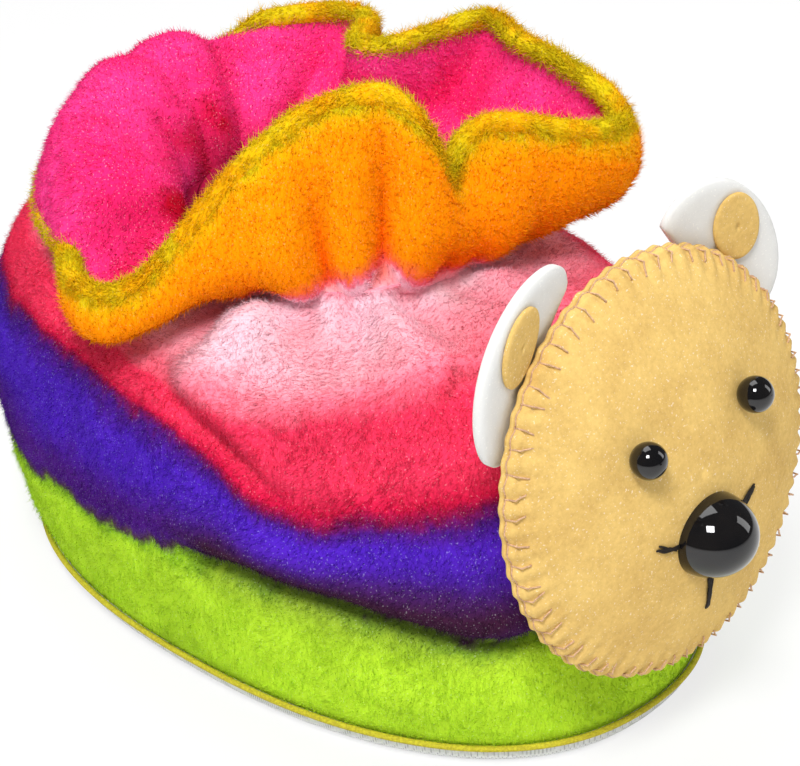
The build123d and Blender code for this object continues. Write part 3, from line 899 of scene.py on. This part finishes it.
def frill_grid():
    loop = smooth_loop(RIM, FRILL_AROUND)
    angle = loop[:, 0]
    start = np.stack([(NECK_X_HALF - 1.2) * np.cos(angle), (NECK_Y_HALF - 1.2) * np.sin(angle),
                      np.full(FRILL_AROUND, frill_low.z / MM - 2.0)], 1)
    out_way = np.stack([np.cos(angle), np.sin(angle), 0 * angle], 1)
    end = loop[:, 1:4]
    arch = loop[:, 4][:, None]
    up = np.array([0, 0, 1.0])
    sag = np.clip(-arch, 0, 1)
    curl = np.clip(arch, 0, 1.3)
    stand = 1 - sag - np.minimum(curl, 1)
    first = start + out_way * (15 * sag + 3 * stand + curl) + up * (14 * stand + 20 * curl)
    rim_out = end * (1, 1, 0)
    rim_out /= np.linalg.norm(rim_out, axis=1, keepdims=True)
    second = end + rim_out * (8 * sag + 2 * stand - 7 * curl) + up * (-18 * sag - 13 * stand + 24 * curl)
    v = np.linspace(0, 1, FRILL_ROWS)[:, None, None]
    grid = start * (1 - v) ** 3 + 3 * first * v * (1 - v) ** 2 + 3 * second * v**2 * (1 - v) + end * v**3
    normal = grid_normals(grid)
    fade = np.linspace(0, 1, FRILL_ROWS)[:, None]
    turns = np.degrees(angle)[None, :] % 360
    pleat = np.zeros((FRILL_ROWS, FRILL_AROUND))
    for direction, wide, high, long in PLEATS:
        off = (turns - direction + 180) % 360 - 180
        pleat += high * bell(off, wide * (0.85 + 0.5 * fade)) * bell(fade, long, 3)
    pleat -= 3.0 * bell(fade, 0.7)
    for direction, share, wide, tall, high in FRILL_SWELLS:
        off = (turns - direction + 180) % 360 - 180
        pleat += high * bell(off, wide) * bell(fade - share, tall)
    pleat *= 1 - bell(fade * 44, 3.0)
    move = pleat + (wander(grid * MM, 0.024, 4.4) * 2.6 + wander(grid * MM, 0.011, 7.7)) * fade * (1.2
        - fade) * 2.4
    grid = grid + normal * move[..., None]
    grid[..., 1] += NECK_Y / MM
    grid = blur_grid(grid, 3)
    # painted shade mask for the outside: the pleats' valleys, fading up towards the rim
    hollow = np.clip(0.35 - pleat / 4.0, 0, 1) * bell(fade, 0.80)
    # painted shade mask for the lining: behind the pleats' ridges and in the bowl on the left
    bowl = bell(turns - 176, 22.0) * bell(fade - 0.38, 0.26)
    inside = np.clip(0.20 + pleat / 4.5, 0, 1) * bell(fade, 0.85) + bowl * 0.8
    pink_up = around_curve(angle, PINK_REACH)[None, :]
    outside_run = fade - pink_up * (1 - fade) ** 3
    return grid * MM, np.repeat(fade, FRILL_AROUND, 1), hollow, outside_run, np.clip(inside, 0, 1)


frill, run, frill_painted_shade, outside_run, inside_painted_shade = frill_grid()
frill_normal = grid_normals(frill)
CLOTH = 0.0023


def offset_grid(grid, normal, near, far):
    moved = grid + normal * near
    other = grid + normal * far
    return blur_grid(moved, 1), blur_grid(other, 1)


thickness = (CLOTH * (1 - 0.10 * np.clip((run - 0.82) / 0.18, 0, 1)))[..., None]
out_near, out_far = offset_grid(frill, frill_normal, 0.0001, thickness)
in_near, in_far = offset_grid(frill, frill_normal, -0.0001, -thickness)
frill_outside = cloth_piece("frill_outside", out_far, out_near, PLUSH_FRILL, "body",
                            {"run": outside_run, "hollow": frill_painted_shade})
frill_inside = cloth_piece("frill_inside", in_near, in_far, PLUSH_LINING, "body",
                           {"run": run, "hollow": inside_painted_shade})
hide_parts("frill_outer")
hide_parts("frill_lining")


def tube(path, radii, sides, closed, squash=1.0):
    """A round tube along points, with an end to match at each side."""
    count = len(path)
    ahead = np.roll(path, -1, 0) - np.roll(path, 1, 0)
    if not closed:
        ahead[0] = path[1] - path[0]
        ahead[-1] = path[-1] - path[-2]
    ahead /= np.maximum(np.linalg.norm(ahead, axis=1, keepdims=True), 1e-12)
    side = np.zeros_like(path)
    pole = np.array([0, 0, 1.0]) if abs(ahead[0][2]) < 0.9 else np.array([1.0, 0, 0])
    last = np.cross(ahead[0], pole)
    for i in range(count):
        last = last - ahead[i] * (last @ ahead[i])
        last /= max(np.linalg.norm(last), 1e-12)
        side[i] = last
    third = np.cross(ahead, side)
    points = []
    radii = np.broadcast_to(radii, (count,))
    for s in range(sides):
        turn = 2 * pi * s / sides
        points.append(path + (side * cos(turn) + third * sin(turn) * squash) * radii[:, None])
    points = np.stack(points, 1).reshape(-1, 3)
    faces = []
    last_row = count if closed else count - 1
    for i in range(last_row):
        k = (i + 1) % count
        for s in range(sides):
            q = (s + 1) % sides
            faces.append((i * sides + s, i * sides + q, k * sides + q, k * sides + s))
    if not closed:
        faces.append(tuple(range(sides))[::-1])
        faces.append(tuple((count - 1) * sides + s for s in range(sides)))
    return points, faces


def merge(parts):
    points = []
    faces = []
    base = 0
    for some, shape in parts:
        points.append(some)
        faces += [tuple(base + v for v in f) for f in shape]
        base += len(some)
    return np.concatenate(points), faces


rim_line = frill[-1]
rim_up = frill[-1] - frill[-3]
rim_up /= np.linalg.norm(rim_up, axis=1, keepdims=True)
RIM_ROLL = 0.00235
rim_path = blur_grid(np.stack([rim_line] * 3), 2)[1]
uneven = 1 + 0.25 * wander(rim_path, 0.009, 2.2)
rim_points, rim_faces = tube(rim_path, RIM_ROLL * uneven, 14, True)


def facing_out(points, index):
    """How much each point on the rolled rim lies to the frill's outer side, from -1 to 1."""
    offset = points - rim_path[index]
    offset /= np.maximum(np.linalg.norm(offset, axis=1, keepdims=True), 1e-9)
    return (offset * frill_normal[-2][index]).sum(1)


rim_out = facing_out(rim_points, np.repeat(np.arange(len(rim_path)), 14))
frill_rim = make_piece("frill_rim", rim_points, rim_faces, PLUSH_RIM, "body",
    {"outward": rim_out})
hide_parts("frill_hem")


flat_frill = grid_map(FRILL_ROWS, FRILL_AROUND)[: FRILL_ROWS * FRILL_AROUND].reshape(FRILL_ROWS,
    FRILL_AROUND, 2)
frill_up = np.gradient(frill, axis=0)
frill_up /= np.maximum(np.linalg.norm(frill_up, axis=2, keepdims=True), 1e-9)


def frill_nap(name, grid, normal, material, slot, length, comb, run, hollow):
    spots = scatter(grid, HAIRS, rng)
    hairs(name, sample(grid, spots), sample(normal, spots), sample(comb, spots), length,
        FRILL_HAIR_WIDTH, rng, material,
          "body", slot, {"run": sample(run, spots), "hollow": sample(hollow, spots)},
          sample(flat_frill, spots))


frill_nap("nap_orange", out_far, frill_normal, PLUSH_FRILL, "plush_orange", 0.0020, frill_up * 0.8,
          outside_run, frill_painted_shade)
frill_nap("nap_magenta", in_far, -frill_normal, PLUSH_LINING, "plush_magenta", 0.0015, frill_up * 0.5,
    run, inside_painted_shade)

pick = rng.integers(0, len(rim_path), RIM_HAIRS)
slide = rng.random(RIM_HAIRS)[:, None]
centre = rim_path[pick] * (1 - slide) + rim_path[(pick + 1) % len(rim_path)] * slide
along = np.roll(rim_path, -1, 0) - rim_path
along = along[pick] / np.linalg.norm(along[pick], axis=1, keepdims=True)
spin = rng.normal(size=(RIM_HAIRS, 3))
spin -= along * (spin * along).sum(1, keepdims=True)
spin /= np.linalg.norm(spin, axis=1, keepdims=True)
sense = np.where(rng.random(RIM_HAIRS) < 0.5, -1.0, 1.0)[:, None]
hairs("nap_rim", centre + spin * RIM_ROLL * 0.96, spin, along * sense * 0.8, *RIM_HAIR, rng, PLUSH_RIM,
    "body",
      "plush_rim", {"outward": facing_out(centre + spin * RIM_ROLL, pick)},
      np.stack([rng.random(RIM_HAIRS), rng.random(RIM_HAIRS)], 1) * 0.98)

# ------------------------------------------------------------------ head
FACE_R = 45.0
FACE_DOME = 13.4
FACE_LEAN = 9.4
FELT = 2.2
FACE_CENTRE = Vector((0, -92.9, 67.5))
STITCHES = 60
LEAN = radians(FACE_LEAN)
FACE_AXES = np.array([[1, 0, 0], [0, sin(LEAN), cos(LEAN)], [0, -cos(LEAN), sin(LEAN)]])
FRONT_BALL = (FACE_R**2 + (FACE_DOME - FELT) ** 2) / (2 * (FACE_DOME - FELT))
FRONT_MIDDLE = FACE_DOME - FRONT_BALL


def to_world(points):
    """Face coordinates in mm (right, up, out) to the part's frame in metres."""
    points = np.asarray(points, float)
    return (points @ FACE_AXES + np.array(FACE_CENTRE)) * MM


def dome(x, y):
    return FRONT_MIDDLE + np.sqrt(np.maximum(FRONT_BALL**2 - x * x - y * y, 0))


def pad_grids(profile_outer, profile_inner, ripple, wave):
    """Round pad from (radius, height) profiles, rippled at its edge by the stitches and slightly wavy."""
    around = STITCHES * 8
    turn = np.arange(around) * 2 * pi / around
    grids = []
    for profile in (profile_outer, profile_inner):
        rows = []
        for radius, height in profile:
            near = max(0.0, (radius - FACE_R + 7.0) / 7.0)
            tug = np.cos(STITCHES * turn)
            r = radius + ripple * near * 0.45 * tug
            h = height + ripple * near * (1 - 0.5 * near) * 0.35 * tug
            h = h + wave * near * np.sin(5 * turn + 1.0)
            rows.append(np.stack([r * np.cos(turn), r * np.sin(turn), h], 1))
        grids.append(np.stack(rows))
    return grids


def front_pad():
    outer = []
    inner = []
    for k in range(40):
        radius = 0.05 + (FACE_R - 0.9) * (k / 39) ** 0.9
        soften = 1.5 * max(0.0, (radius - FACE_R + 4.0) / 4.0) ** 2
        height = float(dome(radius, 0.0)) - soften * 0.6
        outer.append((radius, height))
        inner.append((radius * 0.965, max(height - FELT, 0.05)))
    for k in range(1, 7):
        lean = pi / 2 * k / 6
        edge_height = outer[39][1] if k == 1 else edge_height
        outer.append((FACE_R - 0.9 + 0.9 * sin(lean), 0.05 + (edge_height - 0.05) * cos(lean)))
        inner.append((inner[39][0] + 0.15 * k, 0.05))
    return pad_grids(outer, inner, 1.0, 0.12)


def back_pad():
    outer = []
    inner = []
    for k in range(28):
        radius = FACE_R * 0.19 + (FACE_R * 0.81 + 0.2) * k / 27
        sink = -FELT - 3.8 * (1 - (radius / (FACE_R + 0.2)) ** 2)
        outer.append((radius, sink + 1.0 * max(0.0, (radius - FACE_R + 4) / 4) ** 2))
        inner.append((radius, min(sink + FELT, -0.05)))
    return pad_grids(outer, inner, 0.9, 0.0)


front_outer, front_inner = front_pad()
fill_hole(front_outer, front_inner, 0)
face_front = cloth_piece("face_front_felt", to_world(front_outer)[::-1], to_world(front_inner)[::-1],
    TAN_FELT, "head",
                         {})
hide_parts("face_front")
back_outer, back_inner = back_pad()
face_back = cloth_piece("face_back_felt", to_world(back_outer), to_world(back_inner), TAN_FELT, "head",
    {})
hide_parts("face_back")

TWINE = 0.19
strands = []


def edge_at(angle):
    """How far out the tugged edge of the felt lies under the thread."""
    return FACE_R + 0.02 + 0.5 * cos(STITCHES * angle)


for number in range(STITCHES):
    jitter = (rng.random(4) - 0.5)
    turn = 2 * pi * (number + 0.5 + jitter[0] * 0.22) / STITCHES
    slant = jitter[1] * 0.07
    reach = FACE_R - 3.2 + jitter[2] * 1.4
    legs = []
    edge_line = edge_at(turn)
    for k in range(9):
        part = k / 8
        radius = reach + (edge_line - reach) * min(part * 1.25, 1.0)
        angle = turn + slant * (1 - part)
        if part < 0.8:
            height = float(dome(min(radius, FACE_R - 1.2), 0.0)) + 0.06 - 0.45 * (k == 0)
        else:
            height = 1.6 - (part - 0.8) * 14
        legs.append((radius * cos(angle), radius * sin(angle), height))
    strands.append(tube(np.array(legs), TWINE, 6, False))
    link = []
    for k in range(7):
        angle = turn + (2 * pi / STITCHES) * k / 6
        out = edge_at(angle)
        link.append((out * cos(angle), out * sin(angle), 0.2 + 0.25 * sin(pi * k / 6)))
    strands.append(tube(np.array(link), TWINE * 0.9, 6, False))
twine_points, twine_faces = merge(strands)
edge_stitches = make_piece("edge_stitches", to_world(twine_points), twine_faces, MAUVE_THREAD, "head")
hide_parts("blanket_stitch")

MOUTH = {
    "left": ((-10.2, -12.2), (-15.4, -10.0)),
    "right": ((10.2, -12.2), (15.4, -10.0)),
    "lower": ((0.0, -23.0), (0.3, -32.2)),
}
for side, ((x0, y0), (x1, y1)) in MOUTH.items():
    strokes = []
    for _ in range(5):
        wob = (rng.random(6) - 0.5)
        line = []
        for k in range(9):
            part = k / 8
            x = x0 + (x1 - x0) * part + wob[0] * 0.9 + 0.25 * sin(part * 6 + wob[2] * 9)
            y = y0 + (y1 - y0) * part + wob[1] * 0.9 + 0.25 * cos(part * 5 + wob[3] * 9)
            line.append((x, y, float(dome(x, y)) + 0.25 + 0.25 * sin(pi * part) + 0.15 * wob[4]))
        strokes.append(tube(np.array(line), np.linspace(0.32, 0.22, 9), 6, False))
    points, faces = merge(strokes)
    stroke = make_piece("mouth_line_" + side, to_world(points), faces, BLACK_THREAD, "head")
    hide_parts("mouth_stitch_" + side)

# ------------------------------------------------------------------ ears
EAR_LONG = 41.6
EAR_SHORT = 28.0
EAR_THICK = 3.0
EAR_ANGLE = 41.3
EAR_RADIUS = 46.0
EAR_BEHIND = 3.5
EAR_TILT = 20.0
EAR_TWIST = -15.6
EAR_CUT = -6.6


def ear_to_world(points, side):
    turn = Matrix.Rotation(radians(-EAR_ANGLE), 3, "Z") @ Matrix.Rotation(radians(EAR_TILT), 3, "X")
    turn = np.array(turn @ Matrix.Rotation(radians(EAR_TWIST), 3, "Z"))
    angle = radians(EAR_ANGLE)
    seat = np.array([EAR_RADIUS * sin(angle), EAR_RADIUS * cos(angle), -EAR_BEHIND])
    placed = np.asarray(points) @ turn.T + seat
    placed[..., 0] *= side
    return to_world(placed)


def felt_oval(half_long, half_short, thick, cut, cup, centre=(0, 0), turn=0.0, lift=0.0, around=96):
    """Grids for a cupped felt oval with soft edges; cut flattens the sewn side."""
    rows = []
    backs = []
    shares = [0.001, 0.2, 0.4, 0.6, 0.75, 0.86, 0.93, 0.975, 1.0]
    angle = np.arange(around) * 2 * pi / around
    for share in shares:
        x = half_long * share * np.cos(angle)
        y = half_short * share * np.sin(angle)
        if cut is not None:
            y = np.maximum(y, cut * share)
        px = centre[0] + x * cos(turn) - y * sin(turn)
        py = centre[1] + x * sin(turn) + y * cos(turn)
        bow = cup * (px / 20.8) ** 2 - cup * 0.35 * np.clip(py / 14.0, 0, 1) ** 2
        half = thick / 2 * sqrt(max(1 - max(0.0, (share - 0.86) / 0.14) ** 2 * 0.82, 0.0))
        rows.append(np.stack([px, py, bow + lift + half], 1))
        backs.append(np.stack([px, py, bow + lift - half], 1))
    return np.stack(rows), np.stack(backs)


def ear_cloth(name, grids, side, word, material):
    """A felt piece of an ear, turned so that its faces look outwards on either side."""
    outer, inner = (ear_to_world(grid, side) for grid in grids)
    if side > 0:
        outer, inner = inner, outer
    return cloth_piece(name, outer, inner, material, "ear_" + word[0], {})


PATCH_HALF = (8.5, 5.8)
PATCH_PLACE = (-3.4, 6.2)
PATCH_THICK = 1.3
EAR_CUP = 1.4
for side, word in ((1, "right"), (-1, "left")):
    top, under = felt_oval(EAR_LONG / 2, EAR_SHORT / 2, EAR_THICK, EAR_CUT, EAR_CUP)
    ear = ear_cloth("felt_ear_" + word, (top, under), side, word, EAR_FELT_WHITE)
    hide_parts("ear_" + word)
    patch_grids = felt_oval(*PATCH_HALF, PATCH_THICK, None, EAR_CUP, PATCH_PLACE, radians(-15),
                            EAR_THICK / 2 + 0.68)
    patch = ear_cloth("ear_inner_" + word, patch_grids, side, word, TAN_FELT)
    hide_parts("ear_patch_" + word)
    dress("ear_stitch_" + word, MAUVE_THREAD)

# ------------------------------------------------------------------ kept hard pieces
for name in ("eye_left", "eye_right", "nose"):
    dress(name, BEAD)
for name in ("eye_washer_left", "eye_washer_right", "nose_washer"):
    dress(name, WASHER)
dress("sole_cloth", SOLE_WEAVE)
dress("insole", INSOLE_BOARD)
dress("neck_elastic", PLUSH_POCKET)
dress("face_filling", STUFFING)
dress("sole_seam", SEAM_THREAD)
dress("finger_sleeve", PLUSH_POCKET)
dress("swivel_ring", PLUSH_POCKET)

# ------------------------------------------------------------------ stage, lamps and camera
VIEW_DISTANCE = 0.600
VIEW_HEIGHT = radians(30.13)
VIEW_TURN = radians(-43.44)
VIEW_ROLL = radians(-3.71)
VIEW_AIM = Vector((-0.03516, -0.05502, 0.08824))
VIEW_LENS = 132.74


def add_camera():
    back = Vector((sin(VIEW_TURN) * cos(VIEW_HEIGHT), -cos(VIEW_TURN) * cos(VIEW_HEIGHT),
        sin(VIEW_HEIGHT)))
    right = Vector((cos(VIEW_TURN), sin(VIEW_TURN), 0))
    up = back.cross(right)
    rolled_right = right * cos(VIEW_ROLL) + up * sin(VIEW_ROLL)
    rolled_up = up * cos(VIEW_ROLL) - right * sin(VIEW_ROLL)
    data = bpy.data.cameras.new("view")
    data.lens = VIEW_LENS
    data.sensor_width = 36
    data.clip_start = 0.01
    camera = bpy.data.objects.new("view", data)
    bpy.context.scene.collection.objects.link(camera)
    place = VIEW_AIM + back * VIEW_DISTANCE
    camera.matrix_world = Matrix((
        (rolled_right.x, rolled_up.x, back.x, place.x),
        (rolled_right.y, rolled_up.y, back.y, place.y),
        (rolled_right.z, rolled_up.z, back.z, place.z),
        (0, 0, 0, 1),
    ))
    bpy.context.scene.camera = camera


def add_lamp(name, place, size, power, colour=(1, 1, 1)):
    data = bpy.data.lights.new(name, "AREA")
    data.shape = "RECTANGLE"
    data.size, data.size_y = size
    data.energy = power
    data.color = colour
    lamp = bpy.data.objects.new(name, data)
    bpy.context.scene.collection.objects.link(lamp)
    lamp.location = place
    aim = Vector((0, -0.01, 0.06)) - Vector(place)
    lamp.rotation_euler = aim.to_track_quat("-Z", "Y").to_euler()
    return lamp


def add_floor():
    mesh = bpy.data.meshes.new("floor")
    half = 3.0
    mesh.from_pydata([(-half, -half, 0), (half, -half, 0), (half, half, 0), (-half, half, 0)], [],
        [(0, 1, 2, 3)])
    floor = bpy.data.objects.new("floor", mesh)
    bpy.context.scene.collection.objects.link(floor)
    material = bpy.data.materials.new("pale floor")
    material.use_nodes = True
    t = Tree(material.node_tree)
    shader = material.node_tree.nodes["Principled BSDF"]
    shader.inputs["Base Color"].default_value = (0.86, 0.86, 0.86, 1)
    shader.inputs["Roughness"].default_value = 0.9
    out = material.node_tree.nodes["Material Output"]
    glow = t.add("ShaderNodeEmission")
    glow.inputs["Color"].default_value = (1, 1, 1, 1)
    light = t.add("ShaderNodeLightPath")
    seen = t.times(light.outputs["Is Camera Ray"], 0.72)
    blend = t.add("ShaderNodeMixShader")
    t.join(seen, blend.inputs[0])
    t.join(shader.outputs[0], blend.inputs[1])
    t.join(glow.outputs[0], blend.inputs[2])
    t.join(blend.outputs[0], out.inputs["Surface"])
    mesh.materials.append(material)


def add_world():
    world = bpy.data.worlds.new("studio")
    world.use_nodes = True
    bpy.context.scene.world = world
    t = Tree(world.node_tree)
    ground = world.node_tree.nodes["Background"]
    light = t.add("ShaderNodeLightPath")
    seen = t.math("MAXIMUM", light.outputs["Is Camera Ray"], light.outputs["Is Transmission Ray"])
    ground.inputs["Color"].default_value = (1, 1, 1, 1)
    lit = t.span(light.outputs["Is Glossy Ray"], 0, 1, 0.34, 0.08)
    t.join(t.math("MAXIMUM", lit, seen), ground.inputs["Strength"])


add_camera()
add_world()
add_floor()
lamps = [
    add_lamp("key", (-0.52, -0.42, 0.98), (0.30, 0.30), 12.0),
    add_lamp("top", (0.10, 0.25, 1.0), (0.6, 0.6), 4.5),
    add_lamp("side", (0.75, -0.60, 0.45), (0.3, 0.6), 1.8),
]
bpy.context.scene.view_settings.view_transform = "Standard"
